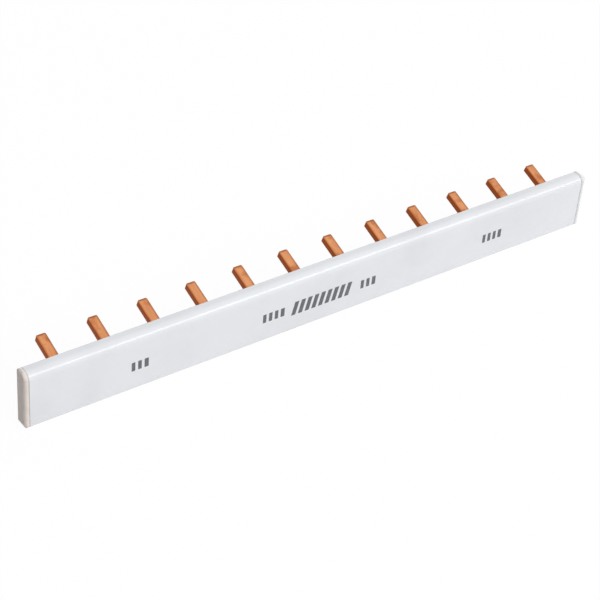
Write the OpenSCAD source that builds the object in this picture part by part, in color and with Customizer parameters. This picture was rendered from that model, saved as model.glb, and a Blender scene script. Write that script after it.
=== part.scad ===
// Single-phase comb busbar with pins.
// An extruded insulating profile holds one stamped copper comb. The comb's tabs are bent
// and leave the profile through a slot along its rear side, as pins that rise a little.
// X runs along the bar, +Y is square to its sides and points to the rear, +Z is up.
// The origin is the middle of the pin row, on the rear side and half way through the pins.

/* [Copper comb] */
// Number of pins
poles = 12; // [2:1:24]
// Distance from one pin to the next, one breaker module
pitch = 17.8; // [16:0.1:27]
// Width of a pin
pin_w = 3.6; // [2.5:0.1:5]
// Thickness of the copper sheet
copper_t = 2.2; // [1.5:0.1:3]
// Length of a pin behind the profile
pin_len = 11.5; // [8:0.5:16]
// Angle that the pins rise from square to the profile's sides
pin_rise = 20; // [0:1:30]
// Height of the flat strip, below the roots of the tabs
strip_h = 7.4; // [5:0.2:14]
// Strip left beyond the middle of each outer pin
strip_overrun = 4.5; // [3:0.1:8]
// Inner radius of the bend between strip and pin
bend_r = 0.6; // [0.4:0.1:1]
// Radius in the corner between a tab and the strip
root_r = 0.7; // [0.3:0.1:1.5]
// Corner radius of a pin's tip, seen from above
tip_corner_r = 1.1; // [0.3:0.1:1.2]
// Radius that rolls a pin's tip over, seen from the side
tip_nose_r = 0.6; // [0.2:0.1:0.7]
// Radius along the long edges of a pin
pin_edge_r = 0.35; // [0.1:0.05:0.4]

/* [Insulating profile] */
// Thickness of the front wall
front_wall = 1.1; // [0.8:0.1:2.5]
// Thickness of the rear wall
rear_wall = 1.1; // [0.8:0.1:2.5]
// Thickness of the top wall
top_wall = 1.6; // [1:0.1:2.5]
// Headroom between the top wall and the slot that the pins leave by
headroom = 1.35; // [0.5:0.05:3]
// Thickness of the bottom wall
bottom_wall = 1.4; // [0.8:0.1:2.5]
// Thickness of the shelf under the copper
shelf_t = 1.0; // [0.6:0.1:2]
// Height of the empty chamber under the shelf
lower_chamber_h = 2.8; // [2:0.1:8]
// Length of profile beyond each end of the copper strip
end_creepage = 7.5; // [5:0.1:12]
// Radius of the front top edge
front_top_r = 2.7; // [0.6:0.1:2.8]
// Radius of the rear top edge
rear_top_r = 0.8; // [0.3:0.1:1.2]
// Radius of the front bottom edge
front_bottom_r = 0.5; // [0.2:0.1:1.2]
// Radius of the rear bottom edge
rear_bottom_r = 1.8; // [0.3:0.1:2.4]
// Radius in the inner corners of the chambers
chamber_r = 0.4; // [0.2:0.1:0.8]
// Radius on the lips of the slot
lip_r = 0.35; // [0.15:0.05:0.5]

/* [End caps] */
// Thickness of a cap's flange
flange_t = 1.9; // [1.5:0.1:3]
// Radius where the flange's front and rear sides turn into its outer face
flange_edge_r = 1; // [0.3:0.1:1.5]
// Radius where the flange's top and bottom turn into its outer face
flange_corner_r = 1.2; // [0.3:0.1:2]
// Radius that leaves a fine groove where the flange meets the profile
seam_r = 0.15; // [0.1:0.05:0.2]
// Length of the plugs that go into the profile
plug_len = 5.5; // [3:0.1:7]
// Taper cut at the tip of a plug
plug_lead = 0.6; // [0.2:0.1:0.9]

/* [Fits] */
// Gap between the copper and each wall round it
copper_fit = 0.25; // [0.1:0.05:0.6]
// Gap between a plug and the chamber round it
plug_fit = 0.15; // [0.05:0.05:0.3]

/* [Hidden] */
$fn = 64;
// Makes a cutting shape pass right through what it cuts.
over = 1;

// Comb.
pin_row = pitch * (poles - 1);
strip_len = pin_row + 2 * strip_overrun;
pin_top = copper_t / 2;
pin_bottom = -copper_t / 2;
strip_rear = -rear_wall - copper_fit;
strip_front = strip_rear - copper_t;
bend_outer_r = bend_r + copper_t;
// The bend's centre lies one inner radius behind the strip and one below the pins.
bend_y = strip_rear + bend_r;
bend_z = micron((pin_bottom - bend_r + bend_y * sin(pin_rise)) / cos(pin_rise));
// Length of a pin from its bend to its tip.
straight_len = micron(pin_len - bend_y * cos(pin_rise) - bend_z * sin(pin_rise));
web_top = bend_z - root_r;
strip_bottom = web_top - strip_h;

// Profile.
profile_len = strip_len + 2 * end_creepage;
front_y = strip_front - copper_fit - front_wall;
profile_d = -front_y;
chamber_front = front_y + front_wall;
chamber_d = profile_d - front_wall - rear_wall;
slot_top = micron(pin_top / cos(pin_rise) + copper_fit);
slot_bottom = bend_z;
chamber_top = slot_top + headroom;
chamber_bottom = strip_bottom - copper_fit;
top_z = chamber_top + top_wall;
lower_top = chamber_bottom - shelf_t;
lower_bottom = lower_top - lower_chamber_h;
bottom_z = lower_bottom - bottom_wall;

// Cap. A flange's edges can't be rounder than it is thick.
flange_limit = flange_t - seam_r;
cap_edge_r = min(flange_edge_r, flange_limit);
cap_corner_r = min(flange_corner_r, flange_limit);

// The waste outside a rounded corner whose sharp point is at the origin.
module corner_waste(r) {
    if (r > 0) difference() {
        square(r);
        translate([r, r]) circle(r);
    }
}

// A rectangle from one corner to the other, with a radius of its own at each corner.
// The radii are for low-low, high-low, high-high and low-high.
module rounded_rect(low, high, radii) {
    size = high - low;
    difference() {
        translate(low) square(size);
        translate(low) corner_waste(radii[0]);
        translate([high.x, low.y]) mirror([1, 0]) corner_waste(radii[1]);
        translate(high) rotate(180) corner_waste(radii[2]);
        translate([low.x, high.y]) mirror([0, 1]) corner_waste(radii[3]);
    }
}

// Stands an outline drawn in Y and Z up and runs it along X from one place to another.
module along_x(from, to) {
    translate([from, 0, 0]) rotate([90, 0, 90]) linear_extrude(to - from) children();
}

// Runs an outline drawn in X and Z along Y from one place to another.
module along_y(from, to) {
    translate([0, to, 0]) rotate([90, 0, 0]) linear_extrude(to - from) children();
}

// Runs an outline drawn in X and Y along Z from one place to another.
module along_z(from, to) {
    translate([0, 0, from]) linear_extrude(to - from) children();
}

// Outline of the bar, seen from its end.
module bar_outline() {
    rounded_rect([front_y, bottom_z], [0, top_z], [front_bottom_r, rear_bottom_r, rear_top_r, front_top_r]);
}

// A chamber of the profile, from one height to another.
module chamber(low, high) {
    rounded_rect(
        [chamber_front, low], [chamber_front + chamber_d, high],
        [chamber_r, chamber_r, chamber_r, chamber_r]
    );
}

// The slot that the pins leave by, with rounded lips.
module slot_outline() {
    inner_y = -rear_wall - chamber_r;
    translate([inner_y, slot_bottom]) square([over - inner_y, slot_top - slot_bottom]);
    translate([0, slot_bottom]) rotate(180) corner_waste(lip_r);
    translate([0, slot_top]) mirror([1, 0]) corner_waste(lip_r);
}

module insulating_profile() {
    color("whitesmoke") along_x(-profile_len / 2, profile_len / 2) difference() {
        bar_outline();
        chamber(chamber_bottom, chamber_top);
        slot_outline();
        chamber(lower_bottom, lower_top);
    }
}

// The flat strip with the roots of its tabs, seen from the front.
module strip_outline() {
    translate([-strip_len / 2, strip_bottom]) square([strip_len, web_top - strip_bottom]);
    for (i = [0 : poles - 1]) translate([pin_x(i), web_top]) tab_root();
}

// A tab's root, from the strip's edge up to the bend, with a hollow round on each side.
module tab_root() {
    difference() {
        translate([-pin_w / 2 - root_r, 0]) square([pin_w + 2 * root_r, root_r]);
        for (side = [-1, 1]) translate([side * (pin_w / 2 + root_r), root_r]) circle(root_r);
    }
}

// The turn that takes a tab from the strip's plane to the pin's, round its own centre.
module tab_bend() {
    cut = 2 * bend_outer_r;
    along_x(-pin_w / 2, pin_w / 2) intersection() {
        difference() {
            circle(bend_outer_r);
            circle(bend_r);
        }
        translate([-cut, 0]) square(cut);
        rotate(pin_rise) translate([-cut, 0]) square(cut);
    }
}

// A straight pin with rolled edges and a rounded tip. It starts above its bend's centre.
module pin() {
    low = bend_r;
    high = bend_outer_r;
    intersection() {
        along_z(low, high)
            rounded_rect([-pin_w / 2, 0], [pin_w / 2, straight_len], [0, 0, tip_corner_r, tip_corner_r]);
        along_x(-pin_w / 2, pin_w / 2)
            rounded_rect([0, low], [straight_len, high], [0, tip_nose_r, tip_nose_r, 0]);
        along_y(0, straight_len)
            rounded_rect(
                [-pin_w / 2, low], [pin_w / 2, high],
                [pin_edge_r, pin_edge_r, pin_edge_r, pin_edge_r]
            );
    }
}

module copper_comb() {
    color("peru") {
        along_y(strip_front, strip_rear) strip_outline();
        for (i = [0 : poles - 1]) translate([pin_x(i), bend_y, bend_z]) {
            tab_bend();
            rotate([pin_rise, 0, 0]) pin();
        }
    }
}

// A cap for the +X end. Its flange covers the profile and its plugs go into the chambers.
module end_cap() {
    outer_x = profile_len / 2 + flange_t;
    color("gainsboro") {
        intersection() {
            along_x(profile_len / 2, outer_x) bar_outline();
            along_y(front_y, 0)
                rounded_rect(
                    [profile_len / 2, bottom_z], [outer_x, top_z],
                    [seam_r, cap_corner_r, cap_corner_r, seam_r]
                );
            along_z(bottom_z, top_z)
                rounded_rect(
                    [profile_len / 2, front_y], [outer_x, 0],
                    [seam_r, cap_edge_r, cap_edge_r, seam_r]
                );
        }
        plug(chamber_bottom, chamber_top);
        plug(lower_bottom, lower_top);
    }
}

// One plug, for the chamber between two heights, with its tip cut to a lead-in.
module plug(low, high) {
    tip_x = profile_len / 2 - plug_len;
    low_z = low + plug_fit;
    high_z = high - plug_fit;
    near_y = chamber_front + plug_fit;
    far_y = chamber_front + chamber_d - plug_fit;
    intersection() {
        along_x(tip_x, profile_len / 2) rounded_rect(
            [near_y, low_z], [far_y, high_z],
            [chamber_r, chamber_r, chamber_r, chamber_r]
        );
        along_y(near_y, far_y) polygon([
            [profile_len / 2, low_z],
            [profile_len / 2, high_z],
            [tip_x + plug_lead, high_z],
            [tip_x, high_z - plug_lead],
            [tip_x, low_z + plug_lead],
            [tip_x + plug_lead, low_z]
        ]);
    }
}

module end_cap_left() {
    mirror([1, 0, 0]) end_cap();
}

module end_cap_right() {
    end_cap();
}

// Where the pin of each number stands.
function pin_x(i) = -pin_row / 2 + i * pitch;

// A size rounded to a thousandth of a millimetre, so that pieces meet exactly.
function micron(size) = round(size * 1000) / 1000;

insulating_profile();
copper_comb();
end_cap_left();
end_cap_right();
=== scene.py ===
"""Looks for a comb busbar: finishes for its solids, marks on its front and a plain studio."""

import math

import bmesh
import bpy
from mathutils import Matrix, Vector


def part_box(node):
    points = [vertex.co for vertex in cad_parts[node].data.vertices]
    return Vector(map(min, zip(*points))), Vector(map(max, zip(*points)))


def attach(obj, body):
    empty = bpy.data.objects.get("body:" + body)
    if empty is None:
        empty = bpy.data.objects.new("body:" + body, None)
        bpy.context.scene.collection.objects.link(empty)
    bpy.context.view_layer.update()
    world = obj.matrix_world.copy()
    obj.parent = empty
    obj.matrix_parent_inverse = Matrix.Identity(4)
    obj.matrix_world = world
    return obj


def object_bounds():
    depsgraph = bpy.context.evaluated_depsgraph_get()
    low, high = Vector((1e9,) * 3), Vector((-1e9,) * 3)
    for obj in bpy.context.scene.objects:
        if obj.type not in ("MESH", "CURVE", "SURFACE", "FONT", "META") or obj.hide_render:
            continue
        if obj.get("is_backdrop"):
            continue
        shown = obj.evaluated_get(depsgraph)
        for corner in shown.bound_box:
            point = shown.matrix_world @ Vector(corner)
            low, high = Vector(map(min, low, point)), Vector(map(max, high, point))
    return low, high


bl_info = {
    "name": "Comb busbar looks",
    "version": (1, 0, 0),
    "blender": (4, 5, 0),
    "location": "View3D > Sidebar > Busbar",
    "description": "Finishes the packed comb busbar and sets up its studio",
    "category": "Object",
}

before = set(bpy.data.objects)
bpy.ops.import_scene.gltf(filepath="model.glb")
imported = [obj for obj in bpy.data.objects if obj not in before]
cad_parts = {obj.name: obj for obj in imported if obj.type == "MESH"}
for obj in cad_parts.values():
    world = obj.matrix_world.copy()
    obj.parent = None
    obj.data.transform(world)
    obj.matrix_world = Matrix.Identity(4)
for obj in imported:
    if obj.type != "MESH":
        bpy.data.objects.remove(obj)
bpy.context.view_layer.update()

MM = 0.001

BODY = "root"
PROFILE = "insulating_profile"
COMB = "copper_comb"
LEFT_CAP = "end_cap_left"
RIGHT_CAP = "end_cap_right"

# Sizes of the solids that the copper's finish follows.
PIN_PITCH = 17.8 * MM
PIN_WIDTH = 3.6 * MM
PIN_RISE = math.radians(20)

# Painted shade on the pins' rounded rims: each fade starts and ends this far inside the edge.
EDGE_SHADE_SIDE_FADE = (0.9 * MM, 0.2 * MM)
EDGE_SHADE_TIP_FADE = (1.1 * MM, 0.3 * MM)
EDGE_SHADE_SIDE_SHARE = 0.66

# Painted seam shade fades out on a cap between these distances from the profile's end.
SEAM_SHADE_FADE = (0.4 * MM, 0.1 * MM)

# How far the light sees an edge rounded.
CAP_EDGE_RADIUS = 1.5 * MM
COPPER_EDGE_RADIUS = 0.45 * MM

# Plain groups of upright blocks: where each lies along the bar, how far it lies above the
# line of marks, and the widths of its blocks.
THREE_BLOCKS = (1.3 * MM, 1.3 * MM, 1.5 * MM)
FOUR_BLOCKS = (1.3 * MM, *THREE_BLOCKS)
BLOCK_GROUPS = {
    "print_left": (-71.8 * MM, 0.0, THREE_BLOCKS),
    "print_centre_left": (-21.9 * MM, 0.0, FOUR_BLOCKS),
    "print_centre_right": (16.1 * MM, -0.4 * MM, THREE_BLOCKS),
    "print_right": (69.8 * MM, 0.0, FOUR_BLOCKS),
}
BLOCK_GAP = 1.0 * MM
BLOCK_CORNER_RADIUS = 0.16 * MM
# The line of marks lies this far below the middle of the front.
MARKS_DROP = 1.3 * MM

# The row of slanted bars in the middle.
BAND_X = -2.8 * MM
BAND_LIFT = -0.2 * MM
BAND_BARS = 9
BAND_INKED_SHARE = 0.62

# The table's grey lights the busbar from below. It shows as white, with a share of its shading.
TABLE_HALF_WIDTH = 3.0
TABLE_GREY = (0.64, 0.64, 0.64, 1.0)
TABLE_WHITE_STRENGTH = 1.035
TABLE_SHADING_SHARE = 0.08

# Sockets of a Mix node set to colours, which share their names with its other sockets.
MIX_FIRST_COLOUR = 6
MIX_SECOND_COLOUR = 7
MIX_RESULT_COLOUR = 2


# ---------------------------------------------------------------- settings


def colour_setting(name, description, default):
    """A colour that a user can change."""
    return bpy.props.FloatVectorProperty(
        name=name, description=description, subtype="COLOR", size=3, min=0, max=1, default=default
    )


def share_setting(name, description, default):
    """A value from 0 to 1 that a user can change."""
    return bpy.props.FloatProperty(
        name=name, description=description, subtype="FACTOR", min=0, max=1, default=default
    )


def length_setting(name, description, default):
    """A length in metres that a user can change."""
    return bpy.props.FloatProperty(
        name=name, description=description, unit="LENGTH", default=default
    )


def angle_setting(name, description, degrees):
    """An angle that a user can change."""
    return bpy.props.FloatProperty(
        name=name,
        description=description,
        subtype="ANGLE",
        unit="ROTATION",
        default=math.radians(degrees),
    )


class BusbarPlasticLook(bpy.types.PropertyGroup):
    """Colours and gloss of the extruded profile and the moulded caps."""

    profile_colour: colour_setting(
        "Profile", "Colour of the extruded profile", (0.80, 0.815, 0.835)
    )
    profile_shade: colour_setting(
        "Profile shade",
        "Colour of the profile where the plastic runs a little greyer",
        (0.76, 0.773, 0.79),
    )
    profile_gloss_roughness: share_setting(
        "Profile roughness", "Roughness of the profile's smoothest stretches", 0.17
    )
    left_cap_colour: colour_setting(
        "Left cap",
        "Colour of the left cap, whose plastic is a warmer white",
        (0.82, 0.735, 0.68),
    )
    right_cap_colour: colour_setting(
        "Right cap",
        "Colour of the right cap, whose plastic is nearly neutral",
        (0.785, 0.79, 0.80),
    )
    cap_dulling: share_setting(
        "Cap dulling", "Share of its colour that a cap loses where handling has dulled it", 0.1
    )
    seam_shade_colour: colour_setting(
        "Painted seam shade",
        "Colour of the painted shade between a cap and the profile",
        (0.36, 0.34, 0.33),
    )
    left_seam_shade: share_setting(
        "Left painted seam shade", "How far painted shade darkens the plastic at the left cap's seam", 0.55
    )
    right_seam_shade: share_setting(
        "Right painted seam shade", "How far painted shade darkens the plastic at the right cap's seam", 0.0
    )


class BusbarCopperLook(bpy.types.PropertyGroup):
    """Colours of the bare copper."""

    bright: colour_setting(
        "Bright copper", "Colour of the rolled faces where they are clean", (0.795, 0.36, 0.165)
    )
    dull: colour_setting(
        "Dull copper", "Colour of the rolled faces where they have darkened", (0.52, 0.18, 0.066)
    )
    copper_shade: colour_setting(
        "Painted copper shade", "Painted shade on the faces that the stamping tool cut and on the pins' rims", (0.30, 0.068, 0.014)
    )
    roughness: share_setting("Roughness", "Roughness of the clean rolled faces", 0.34)


class BusbarPrintLook(bpy.types.PropertyGroup):
    """Sizes and colour of the plain marks printed on the front."""

    ink: colour_setting("Ink", "Colour of the printed marks", (0.11, 0.115, 0.13))
    mark_height: length_setting("Mark height", "Height of the small groups of blocks", 3.3 * MM)
    band_height: length_setting(
        "Band height", "Height of the row of slanted bars in the middle", 5.1 * MM
    )
    band_length: length_setting(
        "Band length", "Length of the row of slanted bars in the middle", 24.0 * MM
    )
    slant: angle_setting("Slant", "Lean of the bars in the middle", 14)
    thickness: length_setting(
        "Ink thickness", "How far the ink stands proud of the plastic", 0.012 * MM
    )


class BusbarStageLook(bpy.types.PropertyGroup):
    """The camera's place and the strength of the studio's light."""

    azimuth: angle_setting(
        "Camera azimuth", "Turn of the camera round the object, 0 facing the front", -38.29
    )
    elevation: angle_setting(
        "Camera elevation", "Height of the camera above the horizon", 36.24
    )
    roll: angle_setting("Camera roll", "Turn of the camera about its own line of sight", 5.01)
    distance: length_setting(
        "Camera distance", "Distance from the camera to the point that it looks at", 594.4 * MM
    )
    target: bpy.props.FloatVectorProperty(
        name="Camera target",
        description="The point that the camera looks at",
        subtype="TRANSLATION",
        size=3,
        default=(-7.32 * MM, 0.80 * MM, -9.76 * MM),
    )
    lens: bpy.props.FloatProperty(
        name="Focal length",
        description="Focal length of the camera in millimetres",
        unit="CAMERA",
        default=108.95,
    )
    key_power: bpy.props.FloatProperty(
        name="Key lamp",
        description="Power of the wide lamp at the front right",
        unit="POWER",
        min=0,
        default=19.0,
    )
    ambient: bpy.props.FloatProperty(
        name="Ambient",
        description="Strength of the light that comes from all round",
        min=0,
        default=0.70,
    )
    ambient_lean: bpy.props.FloatProperty(
        name="Ambient lean",
        description="How much of the ambient light moves from the left side to the right",
        min=0,
        max=2,
        default=1.0,
    )


SETTINGS = {
    "busbar_plastic": BusbarPlasticLook,
    "busbar_copper": BusbarCopperLook,
    "busbar_print": BusbarPrintLook,
    "busbar_stage": BusbarStageLook,
}


# ---------------------------------------------------------------- shader nodes


def link_or_set(tree, socket, value):
    """Links a socket to an output, or sets its number where the value is one."""
    if isinstance(value, bpy.types.NodeSocket):
        tree.links.new(value, socket)
    else:
        socket.default_value = value


def split(tree, vector):
    """The X, Y and Z of a vector, each as an output."""
    parts = tree.nodes.new("ShaderNodeSeparateXYZ")
    tree.links.new(vector, parts.inputs["Vector"])
    return parts.outputs


def remap(tree, value, low, high, out_low=0.0, out_high=1.0, interpolation="LINEAR"):
    """Stretches a value from one range to another, held inside the second."""
    node = tree.nodes.new("ShaderNodeMapRange")
    node.interpolation_type = interpolation
    tree.links.new(value, node.inputs["Value"])
    link_or_set(tree, node.inputs["From Min"], low)
    link_or_set(tree, node.inputs["From Max"], high)
    node.inputs["To Min"].default_value = out_low
    node.inputs["To Max"].default_value = out_high
    return node.outputs["Result"]


def calculate(tree, operation, first, second=0.0):
    """One Math node between two values or outputs."""
    node = tree.nodes.new("ShaderNodeMath")
    node.operation = operation
    link_or_set(tree, node.inputs[0], first)
    link_or_set(tree, node.inputs[1], second)
    return node.outputs["Value"]


def blend_colours(tree, mask, first, second):
    """Mixes two colours or outputs by a mask."""
    node = tree.nodes.new("ShaderNodeMix")
    node.data_type = "RGBA"
    tree.links.new(mask, node.inputs["Factor"])
    for index, colour in ((MIX_FIRST_COLOUR, first), (MIX_SECOND_COLOUR, second)):
        value = colour if isinstance(colour, bpy.types.NodeSocket) else (*colour, 1.0)
        link_or_set(tree, node.inputs[index], value)
    return node.outputs[MIX_RESULT_COLOUR]


def mix_shaders(tree, share, first, second):
    """Two shader nodes mixed by a share or an output."""
    mixed = tree.nodes.new("ShaderNodeMixShader")
    link_or_set(tree, mixed.inputs[0], share)
    tree.links.new(first.outputs[0], mixed.inputs[1])
    tree.links.new(second.outputs[0], mixed.inputs[2])
    return mixed


# ---------------------------------------------------------------- shared effects


def new_group(name, inputs, output, kind):
    """A shader node group with named sockets, and its input and output nodes."""
    group = bpy.data.node_groups.new(name, "ShaderNodeTree")
    for socket, socket_kind, default in inputs:
        made = group.interface.new_socket(socket, in_out="INPUT", socket_type=socket_kind)
        if default is not None:
            made.default_value = default
    group.interface.new_socket(output, in_out="OUTPUT", socket_type=kind)
    start = group.nodes.new("NodeGroupInput").outputs
    end = group.nodes.new("NodeGroupOutput").inputs[output]
    return group, start, end


def add_noise(group, vector, scale, detail, roughness, distortion=0.0):
    """The height of a noise texture inside a group."""
    noise = group.nodes.new("ShaderNodeTexNoise")
    noise.noise_dimensions = "3D"
    group.links.new(vector, noise.inputs["Vector"])
    link_or_set(group, noise.inputs["Scale"], scale)
    link_or_set(group, noise.inputs["Detail"], detail)
    noise.inputs["Roughness"].default_value = roughness
    noise.inputs["Distortion"].default_value = distortion
    return noise.outputs["Fac"]


def streak_group():
    """Lines that run one way, as an extruder's die or a rolling mill leaves them."""
    inputs = [
        ("Vector", "NodeSocketVector", None),
        ("Stretch", "NodeSocketVector", (1.0, 1.0, 1.0)),
        ("Scale", "NodeSocketFloat", 1000.0),
        ("Detail", "NodeSocketFloat", 4.0),
    ]
    group, start, end = new_group("Lengthwise streaks", inputs, "Height", "NodeSocketFloat")
    stretch = group.nodes.new("ShaderNodeVectorMath")
    stretch.operation = "MULTIPLY"
    group.links.new(start["Vector"], stretch.inputs[0])
    group.links.new(start["Stretch"], stretch.inputs[1])
    vector = stretch.outputs["Vector"]
    group.links.new(add_noise(group, vector, start["Scale"], start["Detail"], 0.6), end)
    return group


def grain_group():
    """Fine even grain, as a moulded or rolled skin has."""
    inputs = [
        ("Vector", "NodeSocketVector", None),
        ("Scale", "NodeSocketFloat", 4000.0),
        ("Contrast", "NodeSocketFloat", 0.25),
    ]
    group, start, end = new_group("Fine grain", inputs, "Height", "NodeSocketFloat")
    height = add_noise(group, start["Vector"], start["Scale"], 3.0, 0.55)
    low = calculate(group, "SUBTRACT", 0.5, start["Contrast"])
    high = calculate(group, "ADD", 0.5, start["Contrast"])
    group.links.new(remap(group, height, low, high), end)
    return group


def patch_group():
    """Soft patches where handling, dust or tarnish has changed a surface."""
    inputs = [
        ("Vector", "NodeSocketVector", None),
        ("Scale", "NodeSocketFloat", 60.0),
        ("Start", "NodeSocketFloat", 0.45),
        ("Full", "NodeSocketFloat", 0.7),
    ]
    group, start, end = new_group("Handling patches", inputs, "Mask", "NodeSocketFloat")
    height = add_noise(group, start["Vector"], start["Scale"], 5.0, 0.58, distortion=0.4)
    mask = remap(group, height, start["Start"], start["Full"], interpolation="SMOOTHSTEP")
    group.links.new(mask, end)
    return group


def rounded_group():
    """Normals softened across the edges, as a worn or moulded edge catches light."""
    inputs = [("Radius", "NodeSocketFloat", 0.5 * MM)]
    group, start, end = new_group("Rounded edges", inputs, "Normal", "NodeSocketVector")
    bevel = group.nodes.new("ShaderNodeBevel")
    bevel.samples = 12
    group.links.new(start["Radius"], bevel.inputs["Radius"])
    group.links.new(bevel.outputs["Normal"], end)
    return group


GROUP_MAKERS = {
    "Lengthwise streaks": streak_group,
    "Fine grain": grain_group,
    "Handling patches": patch_group,
    "Rounded edges": rounded_group,
}


def place_group(tree, name, vector=None, **values):
    """Places a shared group in a material, built the first time that it is asked for."""
    node = tree.nodes.new("ShaderNodeGroup")
    node.node_tree = bpy.data.node_groups.get(name) or GROUP_MAKERS[name]()
    if vector is not None:
        tree.links.new(vector, node.inputs["Vector"])
    for socket, value in values.items():
        node.inputs[socket].default_value = value
    return node.outputs[0]


# ---------------------------------------------------------------- materials


def new_material(name):
    """A material with a Principled shader, its node tree and its place on the object."""
    material = bpy.data.materials.new(name)
    material.use_nodes = True
    tree = material.node_tree
    shader = tree.nodes["Principled BSDF"]
    place = tree.nodes.new("ShaderNodeTexCoord").outputs["Object"]
    return material, tree, shader, place


def add_bump(tree, shader, *layers, normal=None):
    """Chains Bump nodes, each a height, a depth in millimetres and a strength."""
    for height, depth, strength in layers:
        bump = tree.nodes.new("ShaderNodeBump")
        bump.inputs["Strength"].default_value = strength
        bump.inputs["Distance"].default_value = depth * MM
        tree.links.new(height, bump.inputs["Height"])
        if normal is not None:
            tree.links.new(normal, bump.inputs["Normal"])
        normal = bump.outputs["Normal"]
    tree.links.new(normal, shader.inputs["Normal"])


def profile_material(look):
    """Extruded plastic: cool white, satin, with faint die lines along its length."""
    material, tree, shader, place = new_material("Extruded white plastic")
    die_lines = place_group(
        tree, "Lengthwise streaks", place, Stretch=(0.01, 1.0, 1.0), Scale=900.0, Detail=3.0
    )
    ripple = place_group(
        tree, "Lengthwise streaks", place, Stretch=(0.25, 1.0, 1.0), Scale=70.0, Detail=1.0
    )
    grain = place_group(tree, "Fine grain", place, Scale=5200.0, Contrast=0.3)
    patches = place_group(
        tree, "Handling patches", place, Scale=42.0, Start=0.42, Full=0.72
    )
    colour = blend_colours(tree, patches, look.profile_colour, look.profile_shade)
    tree.links.new(colour, shader.inputs["Base Color"])
    gloss = look.profile_gloss_roughness
    lined = remap(tree, die_lines, 0.3, 0.7, gloss, gloss + 0.03)
    rough = calculate(tree, "ADD", lined, calculate(tree, "MULTIPLY", patches, 0.06))
    tree.links.new(rough, shader.inputs["Roughness"])
    shader.inputs["Specular IOR Level"].default_value = 0.5
    add_bump(tree, shader, (ripple, 0.03, 0.25), (die_lines, 0.001, 0.1), (grain, 0.002, 0.2))
    return material


def seam_shade_mask(tree, place):
    """1 on the thin line of a cap that lies next to the profile, where painted shade darkens the
    seam.
    """
    _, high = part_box(PROFILE)
    from_middle = calculate(tree, "ABSOLUTE", split(tree, place)["X"])
    clean, seam_shaded = SEAM_SHADE_FADE
    return remap(tree, from_middle, high.x + clean, high.x + seam_shaded)


def cap_material(name, colour, look, dust):
    """Moulded plastic: white, matt, with a fine spark-eroded grain and painted shade along the
    seam.
    """
    material, tree, shader, place = new_material(name)
    grain = place_group(tree, "Fine grain", place, Scale=2600.0, Contrast=0.22)
    patches = place_group(
        tree, "Handling patches", place, Scale=160.0, Start=0.4, Full=0.72
    )
    dulled = tuple(channel * (1 - look.cap_dulling) for channel in colour)
    mottled = blend_colours(tree, patches, tuple(colour), dulled)
    # Painted shade darkens the thin line next to the profile, and dust sets how strongly.
    lined = calculate(tree, "MULTIPLY", seam_shade_mask(tree, place), dust)
    seam_shaded = blend_colours(tree, lined, mottled, look.seam_shade_colour)
    tree.links.new(seam_shaded, shader.inputs["Base Color"])
    rough = remap(tree, grain, 0.0, 1.0, 0.46, 0.58)
    tree.links.new(rough, shader.inputs["Roughness"])
    shader.inputs["Specular IOR Level"].default_value = 0.3
    rounded = place_group(tree, "Rounded edges", Radius=CAP_EDGE_RADIUS)
    add_bump(tree, shader, (grain, 0.012, 0.5), normal=rounded)
    return material


def turn_about_x(tree, vector, angle):
    """A vector turned about the bar's length, so that Y runs along the rising pins."""
    node = tree.nodes.new("ShaderNodeVectorRotate")
    node.rotation_type = "X_AXIS"
    node.inputs["Angle"].default_value = angle
    tree.links.new(vector, node.inputs["Vector"])
    return node.outputs["Vector"]


def cut_face_mask(tree, place):
    """1 on the faces that the stamping tool cut, 0 on the rolled faces of the pins."""
    normal = place.node.outputs["Normal"]
    across_sheet = split(tree, turn_about_x(tree, normal, -PIN_RISE))["Z"]
    squareness = calculate(tree, "ABSOLUTE", across_sheet)
    return remap(tree, squareness, 0.98, 0.75)


def edge_shade_mask(tree, along):
    """1 at the tip of every pin and less along its sides, where painted shade darkens the rounded
    rims.
    """
    parts = split(tree, along)
    count = calculate(tree, "DIVIDE", parts["X"], PIN_PITCH)
    offset = calculate(tree, "SUBTRACT", calculate(tree, "FRACT", count), 0.5)
    from_middle = calculate(tree, "MULTIPLY", calculate(tree, "ABSOLUTE", offset), PIN_PITCH)
    start, full = (PIN_WIDTH / 2 - inside for inside in EDGE_SHADE_SIDE_FADE)
    sides = remap(tree, from_middle, start, full)
    faint_sides = calculate(tree, "MULTIPLY", sides, EDGE_SHADE_SIDE_SHARE)
    turn = Matrix.Rotation(-PIN_RISE, 3, "X")
    reach = max((turn @ vertex.co).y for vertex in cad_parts[COMB].data.vertices)
    start, full = (reach - inside for inside in EDGE_SHADE_TIP_FADE)
    tip = remap(tree, parts["Y"], start, full)
    return calculate(tree, "MAXIMUM", faint_sides, tip)


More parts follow.
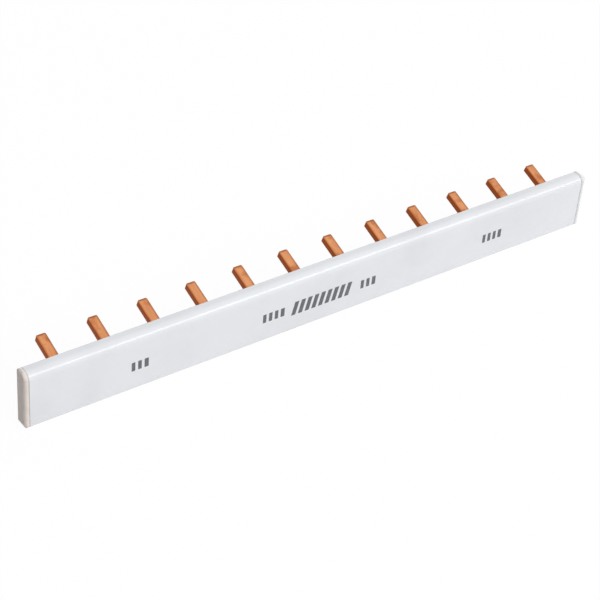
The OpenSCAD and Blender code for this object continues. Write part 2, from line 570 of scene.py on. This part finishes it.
def copper_material(look):
    """Bare copper: bright rolled faces with fine grain lines, and cut faces and rims darkened
    with painted shade.
    """
    material, tree, shader, place = new_material("Bare rolled copper")
    along = turn_about_x(tree, place, -PIN_RISE)
    roll_lines = place_group(
        tree, "Lengthwise streaks", along, Stretch=(1.0, 0.06, 1.0), Scale=2600.0, Detail=4.0
    )
    broad_lines = place_group(
        tree, "Lengthwise streaks", along, Stretch=(1.0, 0.18, 1.0), Scale=620.0, Detail=3.0
    )
    grain = place_group(tree, "Fine grain", place, Scale=5200.0, Contrast=0.3)
    tarnish = place_group(
        tree, "Handling patches", place, Scale=210.0, Start=0.4, Full=0.68
    )
    cut_face = cut_face_mask(tree, place)
    lined = remap(tree, broad_lines, 0.35, 0.68)
    dulling = calculate(tree, "MAXIMUM", calculate(tree, "MULTIPLY", lined, 0.5), tarnish)
    rolled = blend_colours(tree, dulling, look.bright, look.dull)
    # Painted shade: the pins' tips darken towards the shade colour, and their sides do so more
    # faintly.
    edge_shaded = blend_colours(tree, edge_shade_mask(tree, along), rolled, look.copper_shade)
    # Painted shade: the cut side faces take the darker shade colour. Their extra roughness is
    # real.
    colour = blend_colours(tree, cut_face, edge_shaded, look.copper_shade)
    tree.links.new(colour, shader.inputs["Base Color"])
    shader.inputs["Metallic"].default_value = 1.0
    fine = remap(tree, roll_lines, 0.3, 0.7, look.roughness, look.roughness + 0.12)
    rough = calculate(tree, "ADD", fine, calculate(tree, "MULTIPLY", cut_face, 0.16))
    tree.links.new(rough, shader.inputs["Roughness"])
    rounded = place_group(tree, "Rounded edges", Radius=COPPER_EDGE_RADIUS)
    layers = ((broad_lines, 0.01, 0.3), (roll_lines, 0.006, 0.5), (grain, 0.002, 0.3))
    add_bump(tree, shader, *layers, normal=rounded)
    return material


def ink_material(look):
    """Printing ink: dark grey, slightly uneven, as a pad or jet printer lays it."""
    material, tree, shader, place = new_material("Printed ink")
    grain = place_group(tree, "Fine grain", place, Scale=3800.0, Contrast=0.2)
    worn = tuple(0.7 * channel + 0.2 for channel in look.ink)
    colour = blend_colours(tree, remap(tree, grain, 0.62, 1.0), look.ink, worn)
    tree.links.new(colour, shader.inputs["Base Color"])
    rough = remap(tree, grain, 0.0, 1.0, 0.42, 0.6)
    tree.links.new(rough, shader.inputs["Roughness"])
    return material


def dress(node, material):
    """Gives a solid its finish in every material slot."""
    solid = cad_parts[node]
    solid.data.materials.clear()
    solid.data.materials.append(material)
    for polygon in solid.data.polygons:
        polygon.material_index = 0


# ---------------------------------------------------------------- printed marks


def block_outline(centre_x, centre_z, width, height, slant):
    """The corners of one upright block, leaning to the right by its slant."""
    lean = math.tan(slant) * height / 2
    return [
        (centre_x - width / 2 - lean, centre_z - height / 2),
        (centre_x + width / 2 - lean, centre_z - height / 2),
        (centre_x + width / 2 + lean, centre_z + height / 2),
        (centre_x - width / 2 + lean, centre_z + height / 2),
    ]


def row_of_blocks(centre_x, centre_z, widths, gap, height, slant=0.0):
    """Outlines of blocks side by side, centred on one point."""
    length = sum(widths) + gap * (len(widths) - 1)
    left = centre_x - length / 2
    outlines = []
    for width in widths:
        outlines.append(block_outline(left + width / 2, centre_z, width, height, slant))
        left += width + gap
    return outlines


def ink_piece(name, outlines, face_y, look, material):
    """One printed mark: thin solid blocks with rounded corners, lying on the front face."""
    shape = bmesh.new()
    for outline in outlines:
        corners = [shape.verts.new((x, face_y, z)) for x, z in outline]
        shape.faces.new(corners)
    bmesh.ops.bevel(
        shape,
        geom=list(shape.verts),
        offset=BLOCK_CORNER_RADIUS,
        segments=4,
        affect="VERTICES",
        profile=0.5,
    )
    made = bmesh.ops.extrude_face_region(shape, geom=list(shape.faces))
    raised = [part for part in made["geom"] if isinstance(part, bmesh.types.BMVert)]
    bmesh.ops.translate(shape, vec=(0.0, -look.thickness, 0.0), verts=raised)
    bmesh.ops.recalc_face_normals(shape, faces=list(shape.faces))
    mesh = bpy.data.meshes.new(name)
    shape.to_mesh(mesh)
    shape.free()
    mesh.materials.append(material)
    piece = bpy.data.objects.new(name, mesh)
    bpy.context.scene.collection.objects.link(piece)
    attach(piece, BODY)


# ---------------------------------------------------------------- studio


def direction(azimuth, elevation):
    """The way from the busbar to a camera or lamp, with azimuth 0 in front of it."""
    return Vector(
        (
            math.sin(azimuth) * math.cos(elevation),
            -math.cos(azimuth) * math.cos(elevation),
            math.sin(elevation),
        )
    )


def stage_object(name, data):
    """Links an object that belongs to the studio and not to the busbar."""
    made = bpy.data.objects.new(name, data)
    bpy.context.scene.collection.objects.link(made)
    return made


def soft_lamp(name, away, distance, size, power, colour):
    """A wide soft lamp that faces the busbar from a given direction."""
    lamp = bpy.data.lights.new(name, "AREA")
    lamp.shape = "RECTANGLE"
    lamp.size, lamp.size_y = size
    lamp.energy = power
    lamp.color = colour
    made = stage_object(name, lamp)
    made.location = away * distance
    made.rotation_euler = (-made.location).to_track_quat("-Z", "Y").to_euler()
    made.visible_camera = False


def show_white_to(tree, shaded, white_kind, strength):
    """White for camera, glossy and transmission rays, and the given shader for the rest."""
    path = tree.nodes.new("ShaderNodeLightPath").outputs
    seen = calculate(tree, "MAXIMUM", path["Is Camera Ray"], path["Is Glossy Ray"])
    seen = calculate(tree, "MAXIMUM", seen, path["Is Transmission Ray"])
    white = tree.nodes.new(white_kind)
    white.inputs["Color"].default_value = (1.0, 1.0, 1.0, 1.0)
    white.inputs["Strength"].default_value = strength
    return mix_shaders(tree, seen, shaded, white)


def build_world(look):
    """Ambient light that grows from the left to the right, seen as plain white."""
    world = bpy.data.worlds.new("Studio white")
    bpy.context.scene.world = world
    world.use_nodes = True
    tree = world.node_tree
    ambient = tree.nodes["Background"]
    ambient.inputs["Color"].default_value = (0.97, 0.98, 1.0, 1.0)
    towards = tree.nodes.new("ShaderNodeTexCoord").outputs["Generated"]
    level = look.ambient
    lean = level * look.ambient_lean
    strength = remap(tree, split(tree, towards)["X"], -1.0, 1.0, level - lean, level + lean)
    strength = calculate(tree, "MAXIMUM", strength)
    tree.links.new(strength, ambient.inputs["Strength"])
    mixed = show_white_to(tree, ambient, "ShaderNodeBackground", 1.0)
    tree.links.new(mixed.outputs[0], tree.nodes["World Output"].inputs["Surface"])


def build_table():
    """A white table that keeps a faint shadow."""
    material, tree, shader, _ = new_material("White table")
    shader.inputs["Base Color"].default_value = TABLE_GREY
    shader.inputs["Roughness"].default_value = 0.9
    shader.inputs["Specular IOR Level"].default_value = 0.0
    shown = show_white_to(tree, shader, "ShaderNodeEmission", TABLE_WHITE_STRENGTH)
    softened = mix_shaders(tree, TABLE_SHADING_SHARE, shown, shader)
    tree.links.new(softened.outputs[0], tree.nodes["Material Output"].inputs["Surface"])
    half = TABLE_HALF_WIDTH
    low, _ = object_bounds()
    z = low.z
    corners = [(-half, -half, z), (half, -half, z), (half, half, z), (-half, half, z)]
    mesh = bpy.data.meshes.new("floor")
    mesh.from_pydata(corners, [], [(0, 1, 2, 3)])
    mesh.materials.append(material)
    floor = stage_object("floor", mesh)
    floor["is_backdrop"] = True


def build_camera(look):
    """The camera, placed by its direction and distance from the point that it looks at."""
    camera = stage_object("camera", bpy.data.cameras.new("camera"))
    camera.data.lens = look.lens
    camera.data.clip_start = 0.01
    camera.data.clip_end = 20.0
    back = direction(look.azimuth, look.elevation)
    level_right = Vector((math.cos(look.azimuth), math.sin(look.azimuth), 0.0))
    level_up = back.cross(level_right)
    right = level_right * math.cos(look.roll) + level_up * math.sin(look.roll)
    up = back.cross(right)
    turned = Matrix((right, up, back)).transposed().to_4x4()
    place = Vector(look.target) + back * look.distance
    camera.matrix_world = Matrix.Translation(place) @ turned
    bpy.context.scene.camera = camera


# ---------------------------------------------------------------- operators


class BUSBAR_OT_finish_profile(bpy.types.Operator):
    """Gives the extruded profile its white satin plastic"""

    bl_idname = "busbar.finish_profile"
    bl_label = "Finish profile"

    def execute(self, context):
        dress(PROFILE, profile_material(context.scene.busbar_plastic))
        return {"FINISHED"}


class BUSBAR_OT_finish_caps(bpy.types.Operator):
    """Gives both end caps their matt moulded plastic"""

    bl_idname = "busbar.finish_caps"
    bl_label = "Finish end caps"

    def execute(self, context):
        look = context.scene.busbar_plastic
        # The last entry of each cap is the strength of the painted shade at its seam.
        caps = (
            (LEFT_CAP, "Moulded plastic, warm white", look.left_cap_colour, look.left_seam_shade),
            (RIGHT_CAP, "Moulded plastic, white", look.right_cap_colour, look.right_seam_shade),
        )
        for node, name, colour, dust in caps:
            dress(node, cap_material(name, colour, look, dust))
        return {"FINISHED"}


class BUSBAR_OT_finish_comb(bpy.types.Operator):
    """Gives the copper comb its rolled and sheared faces"""

    bl_idname = "busbar.finish_comb"
    bl_label = "Finish copper comb"

    def execute(self, context):
        dress(COMB, copper_material(context.scene.busbar_copper))
        return {"FINISHED"}


class BUSBAR_OT_print_marks(bpy.types.Operator):
    """Prints the plain groups of blocks along the front"""

    bl_idname = "busbar.print_marks"
    bl_label = "Print marks"

    def execute(self, context):
        look = context.scene.busbar_print
        material = ink_material(look)
        low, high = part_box(PROFILE)
        line_z = (low.z + high.z) / 2 - MARKS_DROP
        for name, (x, lift, widths) in BLOCK_GROUPS.items():
            outlines = row_of_blocks(x, line_z + lift, widths, BLOCK_GAP, look.mark_height)
            ink_piece(name, outlines, low.y, look, material)
        step = look.band_length / BAND_BARS
        widths = [step * BAND_INKED_SHARE] * BAND_BARS
        gap = step * (1 - BAND_INKED_SHARE)
        band_z = line_z + BAND_LIFT
        outlines = row_of_blocks(BAND_X, band_z, widths, gap, look.band_height, look.slant)
        ink_piece("print_band", outlines, low.y, look, material)
        return {"FINISHED"}


class BUSBAR_OT_build_stage(bpy.types.Operator):
    """Adds the white table, the lamp, the ambient light and the camera"""

    bl_idname = "busbar.build_stage"
    bl_label = "Build stage"

    def execute(self, context):
        look = context.scene.busbar_stage
        build_world(look)
        build_table()
        soft_lamp(
            "key_lamp",
            away=direction(math.radians(18), math.radians(32)),
            distance=2.0,
            size=(2.2, 0.6),
            power=look.key_power,
            colour=(1.0, 0.99, 0.98),
        )
        build_camera(look)
        context.scene.view_settings.view_transform = "Standard"
        return {"FINISHED"}


OPERATORS = (
    BUSBAR_OT_finish_profile,
    BUSBAR_OT_finish_caps,
    BUSBAR_OT_finish_comb,
    BUSBAR_OT_print_marks,
    BUSBAR_OT_build_stage,
)


# ---------------------------------------------------------------- panel and registration


class BUSBAR_PT_looks(bpy.types.Panel):
    """Lists the steps that dress the busbar"""

    bl_idname = "BUSBAR_PT_looks"
    bl_label = "Comb busbar"
    bl_space_type = "VIEW_3D"
    bl_region_type = "UI"
    bl_category = "Busbar"

    def draw(self, context):
        for operator in OPERATORS:
            self.layout.operator(operator.bl_idname)
        for name in SETTINGS:
            box = self.layout.box()
            settings = getattr(context.scene, name)
            for prop in settings.bl_rna.properties:
                if not prop.is_readonly and prop.identifier != "name":
                    box.prop(settings, prop.identifier)


def register():
    for name, group in SETTINGS.items():
        bpy.utils.register_class(group)
        setattr(bpy.types.Scene, name, bpy.props.PointerProperty(type=group))
    for operator in OPERATORS:
        bpy.utils.register_class(operator)
    bpy.utils.register_class(BUSBAR_PT_looks)


def unregister():
    bpy.utils.unregister_class(BUSBAR_PT_looks)
    for operator in reversed(OPERATORS):
        bpy.utils.unregister_class(operator)
    for name, group in SETTINGS.items():
        delattr(bpy.types.Scene, name)
        bpy.utils.unregister_class(group)


def main():
    register()
    bpy.ops.busbar.finish_profile()
    bpy.ops.busbar.finish_caps()
    bpy.ops.busbar.finish_comb()
    bpy.ops.busbar.print_marks()
    bpy.ops.busbar.build_stage()


if __name__ == "__main__":
    main()
